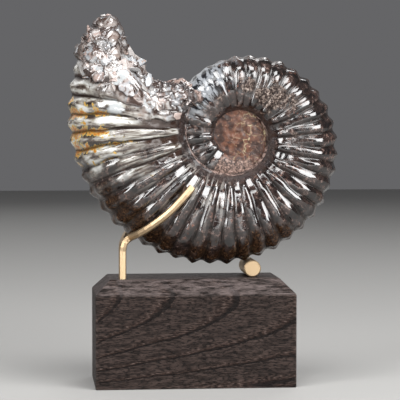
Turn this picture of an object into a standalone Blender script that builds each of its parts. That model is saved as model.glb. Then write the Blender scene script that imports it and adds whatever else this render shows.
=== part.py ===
"""Douvilleiceras ammonite fossil on its display stand, for Blender 4.5. Metres, +Z up.

The origin is the middle of the wood block's underside, -Y is the front and +X the viewer's right.
The shell is one tube coiled on a logarithmic spiral in the XZ plane. A place along it is its turn,
in degrees: 0 where the last whorl starts, behind the mouth, and 360 at the mouth. A place round its
section is an angle: 0 on the outer edge, 180 on the inner edge, negative at the front.
"""

import math
import random

import bmesh
import bpy
from mathutils import Vector

# Wood block
BLOCK_WIDTH = 0.127
BLOCK_DEPTH = 0.062
BLOCK_HEIGHT = 0.0687
BLOCK_CHAMFER = 0.0095
BLOCK_ROUNDING = 0.0005
SOCKET_DEPTH = 0.014

# Brass
ROD_RADIUS = 0.0024
PEG_RADIUS = 0.0054
PEG_LENGTH = 0.030
PEG_ROUNDING = 0.0007
PEG_X = 0.0374
POST_X = -0.0459
POST_Y = -0.0180
GAP = 0.0003
ARM_CLEARANCE = 0.0010

# The front arm's route up the shell as (x, z), from the bend at the top of the post to its cut end
ARM_ROUTE = (
    (-0.0413, 0.0948),
    (-0.0351, 0.0984),
    (-0.0275, 0.1037),
    (-0.0196, 0.1098),
    (-0.0134, 0.1157),
    (-0.0071, 0.1225),
    (-0.0030, 0.1273),
)
POST_BEND = ((-0.0459, -0.0180, 0.0865), (-0.0449, -0.0186, 0.0914))
BACK_ARM_START = (
    (-0.0459, -0.0180, 0.0850),
    (-0.0455, -0.0090, 0.0882),
    (-0.0447, 0.0000, 0.0906),
    (-0.0432, 0.0080, 0.0928),
)
ROUTE_STEPS = 2

# Coil
NUCLEUS_X = 0.0272
NUCLEUS_Z = 0.1594
START_RADIUS = 0.0464
WHORL_GROWTH = 2.558
START_DIRECTION = 135.0
FLATTENING = 0.012
FLATTEST_TURN = 40.0
SEAM_SHARE = 0.298
HALF_BREADTH_SHARE = 0.335
OUTER_SQUARENESS = 0.80
SIDE_SQUARENESS = 0.85
SHOULDER_BULGE = 0.10

# Ribs: rib number grows as an exponential of the turn, so that ribs keep an even spacing on the shell
RIB_SCALE = 40.07
RIB_RATE = 0.002043
RIB_HEIGHT = 0.0026
RIB_HEIGHT_SHARE = 0.045
RIB_LEAN = 6.0
RIB_CREST_SHARE = 0.20
KNOB_HEIGHT = 0.0012
KNOB_ANGLES = (12, 36, 60, 120)
SHORT_RIB_FADE = (72.0, 108.0)
RIB_END_FADE = (120.0, 150.0)
UMBILICUS_ANGLE = 130.0

# Broken mouth: the turn where the shell breaks off at a share of the outer radius, in the middle plane,
# and how much sooner it breaks off on its sides
BROKEN_EDGE = (
    (0.30, 361.0),
    (0.42, 359.0),
    (0.51, 349.0),
    (0.64, 349.0),
    (0.71, 351.5),
    (0.80, 354.0),
    (0.90, 357.5),
    (1.00, 361.0),
)
SIDE_FALL = ((0.30, 12.0), (0.50, 14.0), (0.70, 12.0), (1.00, 12.0))
EDGE_EASE = 5.0
WEAR_FROM = 335.0
WEAR_FULL = 360.0
TIP_WEAR = 0.0030
CRUMBLE_WIDTH = 12.0
RUBBLE_RINGS = (0.85, 0.68, 0.5, 0.32, 0.15)
RUBBLE_SIZE = 0.0026

# Tube resolution: angles round the section in degrees, and the ribs of each whorl
WHORL_ANGLES = tuple(range(-120, 121, 12)) + (145, 180, 215)
INNER_ANGLES = tuple(range(-120, 121, 24)) + (155, 205)
OUTER_WHORL_RIBS = (1, 43)
INNER_WHORL_RIBS = ((-19, 0), (-29, -20))
NUCLEUS_RADIUS_SHARE = 0.85
NUCLEUS_FLATNESS = 0.42
WHORL_END_INSET = 0.06
BRASS_SMOOTH_ANGLE = math.radians(40.0)


def clear_scene():
    for obj in list(bpy.data.objects):
        bpy.data.objects.remove(obj, do_unlink=True)


def new_collection(name):
    collection = bpy.data.collections.new(name)
    bpy.context.scene.collection.children.link(collection)
    return collection


def principled(name, colour, roughness, metallic=0.0):
    material = bpy.data.materials.new(name)
    material.use_nodes = True
    shader = material.node_tree.nodes["Principled BSDF"]
    shader.inputs["Base Color"].default_value = (*colour, 1.0)
    shader.inputs["Roughness"].default_value = roughness
    shader.inputs["Metallic"].default_value = metallic
    return material


def mesh_object(name, mesh_data, collection, material=None):
    """An object from a bmesh, which it frees."""
    mesh = bpy.data.meshes.new(name)
    mesh_data.to_mesh(mesh)
    mesh_data.free()
    obj = bpy.data.objects.new(name, mesh)
    collection.objects.link(obj)
    if material:
        mesh.materials.append(material)
    return obj


def as_cutter(obj):
    obj.hide_render = True
    obj.display_type = "WIRE"
    return obj


def add_boolean(obj, other, operation, solver="EXACT"):
    modifier = obj.modifiers.new(f"{operation.lower()}_{other.name}", "BOOLEAN")
    modifier.operation = operation
    modifier.solver = solver
    modifier.object = other


def cylinder(name, radius, length, collection, sides=24):
    """A closed cylinder along Z, centred on its origin."""
    data = bmesh.new()
    bmesh.ops.create_cone(
        data,
        cap_ends=True,
        segments=sides,
        radius1=radius,
        radius2=radius,
        depth=length,
    )
    return mesh_object(name, data, collection)


def smoothstep(low, high, value):
    share = min(1.0, max(0.0, (value - low) / (high - low)))
    return share * share * (3.0 - 2.0 * share)


def signed_power(value, exponent):
    return math.copysign(abs(value) ** exponent, value)


def interpolate(table, value):
    """The height of the broken line through a table of (place, height) at a place."""
    if value <= table[0][0]:
        return table[0][1]
    for (x0, y0), (x1, y1) in zip(table, table[1:]):
        if value <= x1:
            return y0 + (y1 - y0) * (value - x0) / (x1 - x0)
    return table[-1][1]


def tip_radius(turn):
    """Distance from the coil's axis to the tips of the ribs. The coil is slightly flattened."""
    flattening = FLATTENING * math.cos(2.0 * math.radians(turn - FLATTEST_TURN))
    return START_RADIUS * WHORL_GROWTH ** (turn / 360.0) * (1.0 - flattening)


def rib_height(turn):
    return min(RIB_HEIGHT, RIB_HEIGHT_SHARE * tip_radius(turn))


def turn_of_rib(number):
    return math.log(number / RIB_SCALE + 1.0) / RIB_RATE


def section(outer, angle):
    """(distance from the axis, sideways offset) of the smooth section at an angle in radians."""
    middle = outer * (1.0 + SEAM_SHARE) / 2.0
    half_height = outer * (1.0 - SEAM_SHARE) / 2.0
    away = middle + half_height * signed_power(math.cos(angle), OUTER_SQUARENESS)
    side = outer * HALF_BREADTH_SHARE * signed_power(math.sin(angle), SIDE_SQUARENESS)
    return away, side * (1.0 - SHOULDER_BULGE * math.cos(angle))


def coil_point(turn, away, side):
    direction = math.radians(START_DIRECTION - turn)
    x = NUCLEUS_X + away * math.cos(direction)
    z = NUCLEUS_Z + away * math.sin(direction)
    return Vector((x, side, z))


def broken_turn(away_share, side_share):
    """The turn where the shell is broken off, at a share of the outer radius and of the half breadth."""
    return interpolate(BROKEN_EDGE, away_share) - interpolate(SIDE_FALL, away_share) * side_share**2


def broken_edge(angle):
    """The turn where the wall of the shell is broken off, at an angle round the section."""
    away_share, side_share = section(1.0, angle)
    return broken_turn(away_share, side_share / HALF_BREADTH_SHARE)


def crowd(turn, edge):
    """Turns that would reach past the broken edge are crowded together in front of it.

    Returns the turn and how much is left of its spacing, from 1 to near 0.
    """
    past = turn + EDGE_EASE - edge
    if past <= 0.0:
        return turn, 1.0
    return edge - EDGE_EASE**2 / (EDGE_EASE + past), (EDGE_EASE / (EDGE_EASE + past)) ** 2


def lean(angle_deg):
    """Ribs reach a little further along the coil at the umbilicus than at the outer edge."""
    return RIB_LEAN * min(1.0, abs(angle_deg) / UMBILICUS_ANGLE) ** 2


def relief(number, phase, angle_deg):
    """Heights of rib and knob, from 0 in a groove to 1, for a rib and a phase within it."""
    if phase > RIB_CREST_SHARE:
        return 0.0, 0.0
    around = abs(angle_deg)
    height = 1.0 - smoothstep(*RIB_END_FADE, around)
    if number % 2:
        height *= 1.0 - smoothstep(*SHORT_RIB_FADE, around)
    knob = 1.0 if around in KNOB_ANGLES else 0.0
    return height, knob * height


def whorl_point(number, phase, angle_deg, chance, inset=0.0):
    """A point of the tube: rib number, phase from its crest in rib spacings, angle round the section."""
    angle = math.radians(angle_deg)
    edge = broken_edge(angle)
    turn, spacing_left = crowd(turn_of_rib(number + phase) + lean(angle_deg), edge)
    radius_turn = turn - lean(angle_deg)
    outer = tip_radius(radius_turn) - TIP_WEAR * smoothstep(WEAR_FROM, WEAR_FULL, turn)
    height = rib_height(radius_turn)
    away, side = section(outer - height - inset, angle)
    rise, knob = relief(number, abs(phase), angle_deg)
    out = height * rise + KNOB_HEIGHT * min(1.0, height / RIB_HEIGHT) * (knob - 1.0) * rise
    out += RUBBLE_SIZE * smoothstep(edge - CRUMBLE_WIDTH, edge, turn) * chance.uniform(-1.0, 1.0)
    out *= spacing_left
    away += out * math.cos(angle)
    side += out * math.sin(angle)
    return coil_point(turn, away, side)


def rib_stations(first, last, phases):
    """(rib number, phase) of every ring of the tube from one rib to another."""
    return [(number, phase) for number in range(first, last + 1) for phase in phases]


def tube(name, rings, collection, material=None):
    """A closed tube through rings of points. A last ring of one point is a cap drawn to a point."""
    data = bmesh.new()
    rows = [[data.verts.new(point) for point in ring] for ring in rings]
    for row, following in zip(rows, rows[1:]):
        count = len(row)
        for i in range(count):
            after = (i + 1) % count
            if len(following) == 1:
                data.faces.new((row[i], row[after], following[0]))
            else:
                data.faces.new((row[i], row[after], following[after], following[i]))
    data.faces.new(reversed(rows[0]))
    bmesh.ops.triangulate(data, faces=data.faces[:])
    bmesh.ops.recalc_face_normals(data, faces=data.faces[:])
    return mesh_object(name, data, collection, material)


def rubble_rings(angles, chance):
    """Rings that close the broken mouth: the edge drawn in towards the middle of the section."""
    middle = (1.0 + SEAM_SHARE) / 2.0
    rings = []
    for share in (*RUBBLE_RINGS, 0.0):
        ring = []
        for angle_deg in angles if share else (0,):
            away, side = section(1.0, math.radians(angle_deg))
            away = middle + share * (away - middle)
            side *= share
            turn = broken_turn(away, side / HALF_BREADTH_SHARE)
            outer = tip_radius(turn) - RIB_HEIGHT - TIP_WEAR * smoothstep(WEAR_FROM, WEAR_FULL, turn)
            shake = [RUBBLE_SIZE * chance.uniform(-1.0, 1.0) for _ in range(3)]
            away = outer * away + share * shake[0] / 2.0
            side = outer * side + share * shake[1] / 2.0
            ring.append(coil_point(turn + math.degrees(shake[2] / outer), away, side))
        rings.append(ring)
    return rings


def last_whorl(name, collection, material):
    """The last whorl, from behind the mouth all the way round to the broken mouth."""
    chance = random.Random(7)
    stations = rib_stations(*OUTER_WHORL_RIBS, (-RIB_CREST_SHARE, RIB_CREST_SHARE, 0.5))
    rings = [[whorl_point(n, p, a, chance) for a in WHORL_ANGLES] for n, p in stations]
    rings += rubble_rings(WHORL_ANGLES, chance)
    return tube(name, rings, collection, material)


def inner_whorl(name, first_rib, last_rib, collection):
    """A whorl inside the last one. Its end runs on inside the start of the next, drawn in a little."""
    chance = random.Random(last_rib)
    stations = rib_stations(first_rib, last_rib, (0.0, 0.5))
    rings = [[whorl_point(n, p, a, chance) for a in INNER_ANGLES] for n, p in stations]
    end_turn = turn_of_rib(last_rib + 1.5)
    inset = WHORL_END_INSET * tip_radius(end_turn)
    rings.append([whorl_point(last_rib + 1, 0.5, a, chance, inset) for a in INNER_ANGLES])
    middle = tip_radius(end_turn) * (1.0 + SEAM_SHARE) / 2.0
    rings.append([coil_point(end_turn + RIB_LEAN, middle, 0.0)])
    return tube(name, rings, collection)


def nucleus(name, collection):
    """The first chamber, which closes the middle of the coil."""
    data = bmesh.new()
    bmesh.ops.create_uvsphere(data, u_segments=12, v_segments=8, radius=1.0)
    radius = tip_radius(turn_of_rib(INNER_WHORL_RIBS[-1][0])) * NUCLEUS_RADIUS_SHARE
    bmesh.ops.scale(data, verts=data.verts[:], vec=(radius, radius * NUCLEUS_FLATNESS, radius))
    bmesh.ops.translate(data, verts=data.verts[:], vec=(NUCLEUS_X, 0.0, NUCLEUS_Z))
    return mesh_object(name, data, collection)


def make_ammonite(parts, cutters, material):
    """The whorls fused into one solid. The EXACT solver leaves open edges where they meet."""
    shell = last_whorl("ammonite", parts, material)
    for first_rib, last_rib in INNER_WHORL_RIBS:
        inner = inner_whorl(f"whorl_to_rib_{last_rib}", first_rib, last_rib, cutters)
        add_boolean(shell, as_cutter(inner), "UNION", solver="MANIFOLD")
    add_boolean(shell, as_cutter(nucleus("nucleus", cutters)), "UNION", solver="MANIFOLD")
    return shell


def shell_half_breadth(x, z):
    """Half the shell's breadth at a point of its side, or None outside the last whorl's outline."""
    away = math.hypot(x - NUCLEUS_X, z - NUCLEUS_Z)
    direction = math.degrees(math.atan2(z - NUCLEUS_Z, x - NUCLEUS_X))
    outer = tip_radius((START_DIRECTION - direction) % 360.0)
    middle = outer * (1.0 + SEAM_SHARE) / 2.0
    level = (away - middle) / (outer - middle)
    if abs(level) >= 1.0:
        return None
    angle = math.acos(signed_power(level, 1.0 / OUTER_SQUARENESS))
    return section(outer, angle)[1]


def arm_height(x, z):
    """How far from the middle plane a rod's axis must stay to clear the shell's side at this place."""
    reach = ROD_RADIUS + ARM_CLEARANCE
    heights = []
    for ring in range(4):
        for step in range(16):
            distance = reach * ring / 3.0
            angle = 2.0 * math.pi * step / 16.0
            breadth = shell_half_breadth(x + distance * math.cos(angle), z + distance * math.sin(angle))
            if breadth is not None:
                heights.append(breadth + math.sqrt(reach**2 - distance**2))
    return max(heights) if heights else 0.0


def smooth_route(points, steps):
    """Points along a Catmull-Rom curve through the given ones."""
    points = [Vector(p) for p in points]
    padded = [2 * points[0] - points[1], *points, 2 * points[-1] - points[-2]]
    route = []
    for a, b, c, d in zip(padded, padded[1:], padded[2:], padded[3:]):
        for step in range(steps):
            t = step / steps
            linear = (c - a) * t
            square = (2 * a - 5 * b + 4 * c - d) * t**2
            cube = (3 * b - a - 3 * c + d) * t**3
            route.append(b + 0.5 * (linear + square + cube))
    route.append(points[-1])
    return route


def rod(name, route, collection, material):
    """A round brass rod along a route, as a mesh with flat cut ends."""
    curve = bpy.data.curves.new(name, "CURVE")
    curve.dimensions = "3D"
    curve.bevel_depth = ROD_RADIUS
    curve.bevel_resolution = 2
    curve.use_fill_caps = True
    spline = curve.splines.new("POLY")
    spline.points.add(len(route) - 1)
    for point, place in zip(spline.points, route):
        point.co = (*place, 1.0)
    guide = bpy.data.objects.new(f"{name}_curve", curve)
    collection.objects.link(guide)
    bpy.context.view_layer.update()
    graph = bpy.context.evaluated_depsgraph_get()
    mesh = bpy.data.meshes.new_from_object(guide.evaluated_get(graph))
    data = bmesh.new()
    data.from_mesh(mesh)
    bmesh.ops.remove_doubles(data, verts=data.verts[:], dist=0.00001)
    bpy.data.objects.remove(guide, do_unlink=True)
    bpy.data.meshes.remove(mesh)
    obj = mesh_object(name, data, collection, material)
    obj.data.shade_smooth()
    obj.data.set_sharp_from_angle(angle=BRASS_SMOOTH_ANGLE)
    return obj


def arm_route(side):
    """The arm's stretch on the shell's side, at the front for side -1 and at the back for side 1."""
    return [(x, side * arm_height(x, z), z) for x, z in ARM_ROUTE]


def make_front_rod(parts, material):
    foot = (POST_X, POST_Y, BLOCK_HEIGHT - SOCKET_DEPTH + GAP)
    bend = smooth_route([*POST_BEND, *arm_route(-1)], ROUTE_STEPS)
    return rod("brass_front_rod", [foot, *bend], parts, material)


def make_back_arm(parts, cutters, material):
    """The second arm. Its lower end is coped to fit against the post."""
    route = smooth_route([*BACK_ARM_START, *arm_route(1)], ROUTE_STEPS)
    arm = rod("brass_back_arm", route, parts, material)
    post = cylinder("post_clearance", ROD_RADIUS + GAP, 0.03, cutters)
    post.location = (POST_X, POST_Y, POST_BEND[0][2] - 0.004)
    add_boolean(arm, as_cutter(post), "DIFFERENCE")
    return arm


def make_peg(parts, material):
    peg = cylinder("brass_peg", PEG_RADIUS, PEG_LENGTH, parts, sides=32)
    peg.data.materials.append(material)
    peg.rotation_euler = (math.radians(90.0), 0.0, 0.0)
    peg.location = (PEG_X, 0.0, BLOCK_HEIGHT + GAP + PEG_RADIUS)
    rounding = peg.modifiers.new("rounding", "BEVEL")
    rounding.width = PEG_ROUNDING
    rounding.segments = 1
    rounding.limit_method = "ANGLE"
    rounding.angle_limit = BRASS_SMOOTH_ANGLE
    peg.data.shade_smooth()
    peg.data.set_sharp_from_angle(angle=BRASS_SMOOTH_ANGLE)
    return peg


def make_block(parts, cutters, material):
    """The wood block with a chamfer round its top and a socket for the post."""
    data = bmesh.new()
    bmesh.ops.create_cube(data, size=1.0)
    size = (BLOCK_WIDTH, BLOCK_DEPTH, BLOCK_HEIGHT)
    bmesh.ops.scale(data, verts=data.verts[:], vec=size)
    bmesh.ops.translate(data, verts=data.verts[:], vec=(0.0, 0.0, BLOCK_HEIGHT / 2.0))
    top_edges = [e for e in data.edges if all(v.co.z > BLOCK_HEIGHT / 2.0 for v in e.verts)]
    bmesh.ops.bevel(
        data,
        geom=top_edges,
        offset=BLOCK_CHAMFER,
        segments=1,
        affect="EDGES",
        profile=0.5,
    )
    block = mesh_object("wood_block", data, parts, material)
    rounding = block.modifiers.new("rounding", "BEVEL")
    rounding.width = BLOCK_ROUNDING
    rounding.segments = 1
    socket = cylinder("post_socket", ROD_RADIUS + GAP, 2.0 * SOCKET_DEPTH, cutters)
    socket.location = (POST_X, POST_Y, BLOCK_HEIGHT)
    add_boolean(block, as_cutter(socket), "DIFFERENCE")
    return block


def main():
    clear_scene()
    parts = new_collection("douvilleiceras_ammonite_fossil")
    cutters = new_collection("cutters")
    shell = principled("fossil_shell", (0.16, 0.13, 0.115), 0.18)
    wood = principled("black_wood", (0.035, 0.027, 0.024), 0.62)
    brass = principled("satin_brass", (0.80, 0.62, 0.36), 0.32, metallic=1.0)
    make_ammonite(parts, cutters, shell)
    make_block(parts, cutters, wood)
    make_front_rod(parts, brass)
    make_back_arm(parts, cutters, brass)
    make_peg(parts, brass)


main()
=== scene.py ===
"""Polished Douvilleiceras ammonite on a black wood block with a brass holder. Metres, +Z up.

The shell is one tube coiled on a logarithmic spiral in the XZ plane, with -Y at the front. A place
along it is its turn, in degrees: 0 where the last whorl starts, 360 at the broken mouth. A place
round its section is an angle: 0 on the outer edge, 180 on the inner edge, negative at the front.
A share is how far out a place lies: 0 on the coil's axis, 1 on the whorl's outer edge.
"""

import itertools
import math
import random

import bmesh
import bpy
import numpy as np
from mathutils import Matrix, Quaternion, Vector, noise


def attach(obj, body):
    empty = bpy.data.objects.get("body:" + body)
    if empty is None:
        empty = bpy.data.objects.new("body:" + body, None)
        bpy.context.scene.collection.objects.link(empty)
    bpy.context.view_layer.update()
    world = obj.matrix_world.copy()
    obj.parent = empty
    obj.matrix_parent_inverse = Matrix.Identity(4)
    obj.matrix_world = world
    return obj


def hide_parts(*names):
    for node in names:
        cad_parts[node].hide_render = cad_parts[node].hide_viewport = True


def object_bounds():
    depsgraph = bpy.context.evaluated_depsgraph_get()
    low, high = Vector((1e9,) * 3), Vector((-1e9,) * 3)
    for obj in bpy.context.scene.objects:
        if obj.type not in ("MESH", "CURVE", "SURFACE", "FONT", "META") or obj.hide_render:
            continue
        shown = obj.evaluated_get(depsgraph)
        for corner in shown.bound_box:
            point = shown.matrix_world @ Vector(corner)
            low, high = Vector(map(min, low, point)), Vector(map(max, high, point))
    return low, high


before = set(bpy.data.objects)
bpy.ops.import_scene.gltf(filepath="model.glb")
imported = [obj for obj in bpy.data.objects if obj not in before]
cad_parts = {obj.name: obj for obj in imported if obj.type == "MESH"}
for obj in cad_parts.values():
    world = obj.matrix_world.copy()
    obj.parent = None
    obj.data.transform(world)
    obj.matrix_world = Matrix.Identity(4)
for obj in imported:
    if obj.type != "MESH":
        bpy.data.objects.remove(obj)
cad_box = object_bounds()

# Camera
CAMERA_PLACE = (-0.1056, -1.1534, 0.1720)
CAMERA_LENS = 162.0
CAMERA_SENSOR = 36.0
CAMERA_YAW = 5.48
CAMERA_PITCH = -2.68

# Lights: direction from the shell, distance, width and height, and brightness
SHELL_MIDDLE = (0.0, 0.0, 0.15)
LIGHTS = {
    "left_softbox": ((-0.78, -0.62, 0.28), 1.45, (0.50, 0.95), 11.5),
    "right_softbox": ((0.66, -0.72, 0.36), 1.50, (1.05, 0.90), 11.5),
    "upper_left_softbox": ((-0.45, -0.57, 0.70), 1.35, (0.46, 0.40), 4.6),
    "front_softbox": ((0.18, -0.86, 0.48), 1.50, (0.46, 0.30), 8.0),
    "top_softbox": ((0.0, -0.34, 0.95), 1.20, (0.80, 0.60), 10.0),
    "strip_light": ((-0.28, -0.91, 0.32), 1.60, (0.30, 0.60), 11.0),
    "low_panel": ((0.15, -0.92, -0.13), 0.95, (0.80, 0.16), 2.4),
    "back_softbox": ((0.30, 0.62, 0.75), 1.60, (0.60, 0.50), 7.0),
    "back_panel": ((-0.30, 0.85, 0.50), 2.00, (2.20, 1.50), 0.55),
}
FLOOR_HALF_WIDTH = 3.0

# Coil, as in the solid
NUCLEUS_X = 0.0272
NUCLEUS_Z = 0.1594
START_RADIUS = 0.0464
WHORL_GROWTH = 2.558
START_DIRECTION = 135.0
FLATTENING = 0.012
FLATTEST_TURN = 40.0
SEAM_SHARE = 0.298
HALF_BREADTH_SHARE = 0.335
OUTER_SQUARENESS = 0.80
SIDE_SQUARENESS = 0.85
SHOULDER_BULGE = 0.10

# Ribs: number along the coil, height, lean and profile
RIB_SCALE = 40.07
RIB_RATE = 0.002043
RIB_SHIFT = 0.15
RIB_HEIGHT = 0.0032
RIB_HEIGHT_SHARE = 0.043
RIB_LEAN = 6.0
UMBILICUS_ANGLE = 130.0
EDGE_ROUNDNESS = 1.15
FLANK_ROUNDNESS = 4.2
FLANK_ANGLES = (20.0, 60.0)
LOWEST_RIB = 0.72
SHORT_RIB_FADE = (72.0, 108.0)
RIB_END_FADE = (124.0, 146.0)
GROOVE_PHASES = (0.70, 0.96)
GROOVE_END_FADE = (116.0, 138.0)
RIB_WANDER = 0.10
RIB_WANDER_SIZE = 0.012

# Rows of knobs on the ribs: angle and width in degrees, and share of the knobs' height
KNOB_HEIGHT = 0.0011
KNOB_HALF_LENGTH = 0.36
KNOB_ROWS = ((8.0, 6.0, 1.0), (32.0, 6.0, 1.0), (66.0, 17.0, 1.3), (123.0, 6.5, 1.0))

# Low ribs: polished round one turn, off the inner edge, and worn on the early whorls
POLISHED_TURNS = (4.0, 36.0)
POLISHED_FROM = -40.0
POLISHED_EASE = (0.0, 60.0)
POLISHED_OFF = 0.72
WORN_RIBS = 0.25
WORN_FADE = (-125.0, -75.0)

# Unevenness of the surface: height, size and seed
UNEVENNESS = ((0.00030, 0.007, 3.1), (0.00012, 0.003, 7.7))

# Broken mouth: the turn of its edge by share, and how much sooner the sides break off
BROKEN_EDGE = (
    (0.30, 361.0),
    (0.42, 359.0),
    (0.51, 349.0),
    (0.64, 349.0),
    (0.71, 351.5),
    (0.80, 353.0),
    (0.90, 358.0),
    (1.00, 358.5),
)
SIDE_FALL = ((0.30, 12.0), (0.50, 14.0), (0.70, 12.0), (1.00, 12.0))
EDGE_EASE = 5.0
WEAR_TURNS = (335.0, 360.0)
TIP_WEAR = 0.0030
CAP_HOLLOW = 3.0
CAP_GRAIN = 8.0

# Rubble in the mouth: the turn where it starts by share, and its lumps and chips
RUBBLE_EDGE = (
    (0.30, 348.0),
    (0.36, 334.0),
    (0.45, 323.0),
    (0.60, 322.0),
    (0.75, 326.0),
    (0.88, 331.0),
    (1.00, 338.0),
)
RUBBLE_FADE = 8.0
RUBBLE_WANDER = 5.0
RUBBLE_WANDER_SIZE = 0.012
RUBBLE_INSET = 0.0010
LUMP_SIZE = 0.0078
LUMP_HEIGHT = 0.0038
LUMP_CRACK = 0.5
LUMP_BEND = 0.0016
LUMP_BEND_SIZE = 0.005
CHIP_SIZE = 0.0034
CHIP_HEIGHT = 0.0010
CHIP_CRACK = 0.6
CHIP_SHIFT = 0.3
CRACK_WIDTH = 0.30
CHANCE_CELLS = 24
PRESSED_ZONE = 0.0016

# Pale smooth patches on the front: x, z and half width
PALE_PATCHES = (
    (-0.0515, 0.1765, 0.0050),
    (-0.0480, 0.1950, 0.0050),
    (-0.0600, 0.2040, 0.0040),
    (-0.0430, 0.2075, 0.0045),
    (-0.0300, 0.1790, 0.0040),
)
PALE_SMOOTHNESS = 0.75

# Crystals that lie on the rubble
CRYSTAL_COUNT = 120
CRYSTAL_SEED = 11
CRYSTAL_FROM = 0.55
CRYSTAL_LARGEST = 0.0145
CRYSTAL_SMALLEST = 0.0055
CRYSTAL_SHRINK = 0.45
CRYSTAL_NEAR_COIL = (-0.040, -0.020)
CRYSTAL_NEAR_TOP = (0.215, 0.235)
CRYSTAL_NEAR_OUTSIDE = (-0.074, -0.064)
CRYSTAL_OUTSIDE_SHRINK = 1.3
CRYSTAL_TOP = 0.229
CRYSTAL_LEAN = 0.38
CRYSTAL_LENGTH = 0.66
CRYSTAL_WIDTHS = (0.24, 0.46)
CRYSTAL_THICKNESSES = (0.14, 0.26)
CRYSTAL_SUNK = 0.06
FRAGMENT_POINTS = 7
PIECE_SLACK = 0.0008

# Larger pieces in the mouth: place, size and tone. The last two are the shell's tips.
LUMPS = (
    ((-0.0452, -0.006, 0.2176), 0.0042, 0.55),
    ((-0.0402, -0.007, 0.2132), 0.0046, 0.95),
    ((-0.0402, -0.010, 0.2064), 0.0048, 0.60),
    ((-0.0420, -0.018, 0.2030), 0.0056, 0.90),
    ((-0.0300, -0.010, 0.1940), 0.0058, 0.78),
    ((-0.0574, -0.004, 0.2336), 0.0046, 0.40),
    ((-0.0534, -0.002, 0.2350), 0.0050, 0.76),
)
LUMP_AXES = (0.6, 0.9)
LUMP_POINTS = 14

# Broken plates: corners clockwise from the top left, how far they bulge, and tone
BLADE_CORNERS = (
    (-0.0441, -0.0330, 0.2020),
    (-0.0300, -0.0310, 0.1918),
    (-0.0410, -0.0375, 0.1800),
    (-0.0540, -0.0372, 0.1890),
)
SLAB_CORNERS = (
    (-0.0640, -0.0325, 0.1920),
    (-0.0500, -0.0370, 0.1905),
    (-0.0497, -0.0368, 0.1880),
    (-0.0630, -0.0325, 0.1880),
)
PLATES = ((BLADE_CORNERS, -0.0010, 0.66), (SLAB_CORNERS, 0.0006, 0.76))
PLATE_THICKNESS = 0.0012
PLATE_RAGGEDNESS = 0.22
PLATE_ROUNDING = 0.32
PLATE_RIPPLE = 0.0005
PLATE_RIPPLE_SIZE = 0.0040
BLADE_CLEARANCE = 0.0095
BLADE_BED = 0.0034
BLADE_BED_FADE = (0.8, 1.3)

# Worn disc in the middle
DISC_RADIUS = 0.0190
DISC_DEPTH = 0.0086
DISC_DOME = 0.0008
DISC_SPIRAL = 0.00018
DISC_UNEVENNESS = 0.00035
DISC_EDGE_DROP = 0.004

# Turns: where the last whorl's own markings begin, and one in the core, for the disc
LAST_WHORL_FROM = -60.0
DISC_TURN = -300.0

# Wood block
WOOD_WIDTH = 0.127
WOOD_HEIGHT = 0.0687
WOOD_RING = 0.177
WOOD_FRONT = 0.04
WOOD_RING_TILT = 2.5
WOOD_RING_REACH = 0.70
WOOD_RING_CURVE = 0.72
WOOD_WEAR = 0.0012

# Colours, linear
FLOOR_COLOUR = (0.28, 0.276, 0.268)
STUDIO_COLOUR = (0.13, 0.13, 0.135)

# Ranges of colours: (place, colour) stops
BROWN_RIM = (
    (0.42, (0.006, 0.0034, 0.0022)),
    (0.52, (0.024, 0.0115, 0.0062)),
    (0.60, (0.068, 0.034, 0.016)),
    (0.68, (0.15, 0.095, 0.055)),
)
CRUSHED_SHELL = (
    (0.42, (0.007, 0.0045, 0.004)),
    (0.49, (0.050, 0.036, 0.031)),
    (0.55, (0.15, 0.118, 0.10)),
    (0.64, (0.34, 0.285, 0.25)),
)
PEARL = (
    (0.40, (0.020, 0.013, 0.009)),
    (0.47, (0.085, 0.066, 0.054)),
    (0.53, (0.27, 0.255, 0.225)),
    (0.61, (0.47, 0.47, 0.45)),
)
AMBER = (
    (0.0, (0.30, 0.29, 0.20)),
    (0.35, (0.36, 0.29, 0.10)),
    (0.70, (0.45, 0.225, 0.034)),
    (1.0, (0.30, 0.105, 0.018)),
)
CALCITE = (
    (0.0, (0.13, 0.085, 0.068)),
    (0.20, (0.22, 0.19, 0.175)),
    (0.42, (0.29, 0.275, 0.265)),
    (0.62, (0.26, 0.275, 0.29)),
    (0.78, (0.28, 0.205, 0.18)),
    (1.0, (0.40, 0.392, 0.385)),
)
CORE_CRUMBS = (
    (0.42, (0.012, 0.007, 0.006)),
    (0.49, (0.075, 0.045, 0.036)),
    (0.60, (0.28, 0.19, 0.155)),
)

# Mesh resolution
OUTER_RIBS = (-6, 43)
OUTER_STATIONS = 7
OUTER_ANGLES = 176
OUTER_INSET = 0.0012
MOUTH_RIB = 35
MOUTH_STATIONS = 16
MOUTH_EXTRA_STATIONS = 10
CAP_RINGS = 34
INNER_RIBS = (-32, -5)
INNER_STATIONS = 8
INNER_ANGLES = 72
DISC_RINGS = 34
DISC_SEGMENTS = 120
PLATE_STEPS = 12


def smoothstep(low, high, value):
    share = np.clip((value - low) / (high - low), 0.0, 1.0)
    return share * share * (3.0 - 2.0 * share)


def signed_power(value, exponent):
    return np.sign(value) * np.abs(value) ** exponent


def bump(value, centre, width):
    """A smooth hump of height 1."""
    return np.exp(-(((value - centre) / width) ** 2))


def plateau(value, centre, width):
    """A hump of height 1 with a flat top."""
    return np.exp(-(((value - centre) / width) ** 4))


def interpolate(table, value):
    places, heights = zip(*table)
    return np.interp(value, places, heights)


def tip_radius(turn):
    flattening = FLATTENING * np.cos(2.0 * np.radians(turn - FLATTEST_TURN))
    return START_RADIUS * WHORL_GROWTH ** (turn / 360.0) * (1.0 - flattening)


def turn_of_rib(number):
    return np.log((number - RIB_SHIFT) / RIB_SCALE + 1.0) / RIB_RATE


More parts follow.
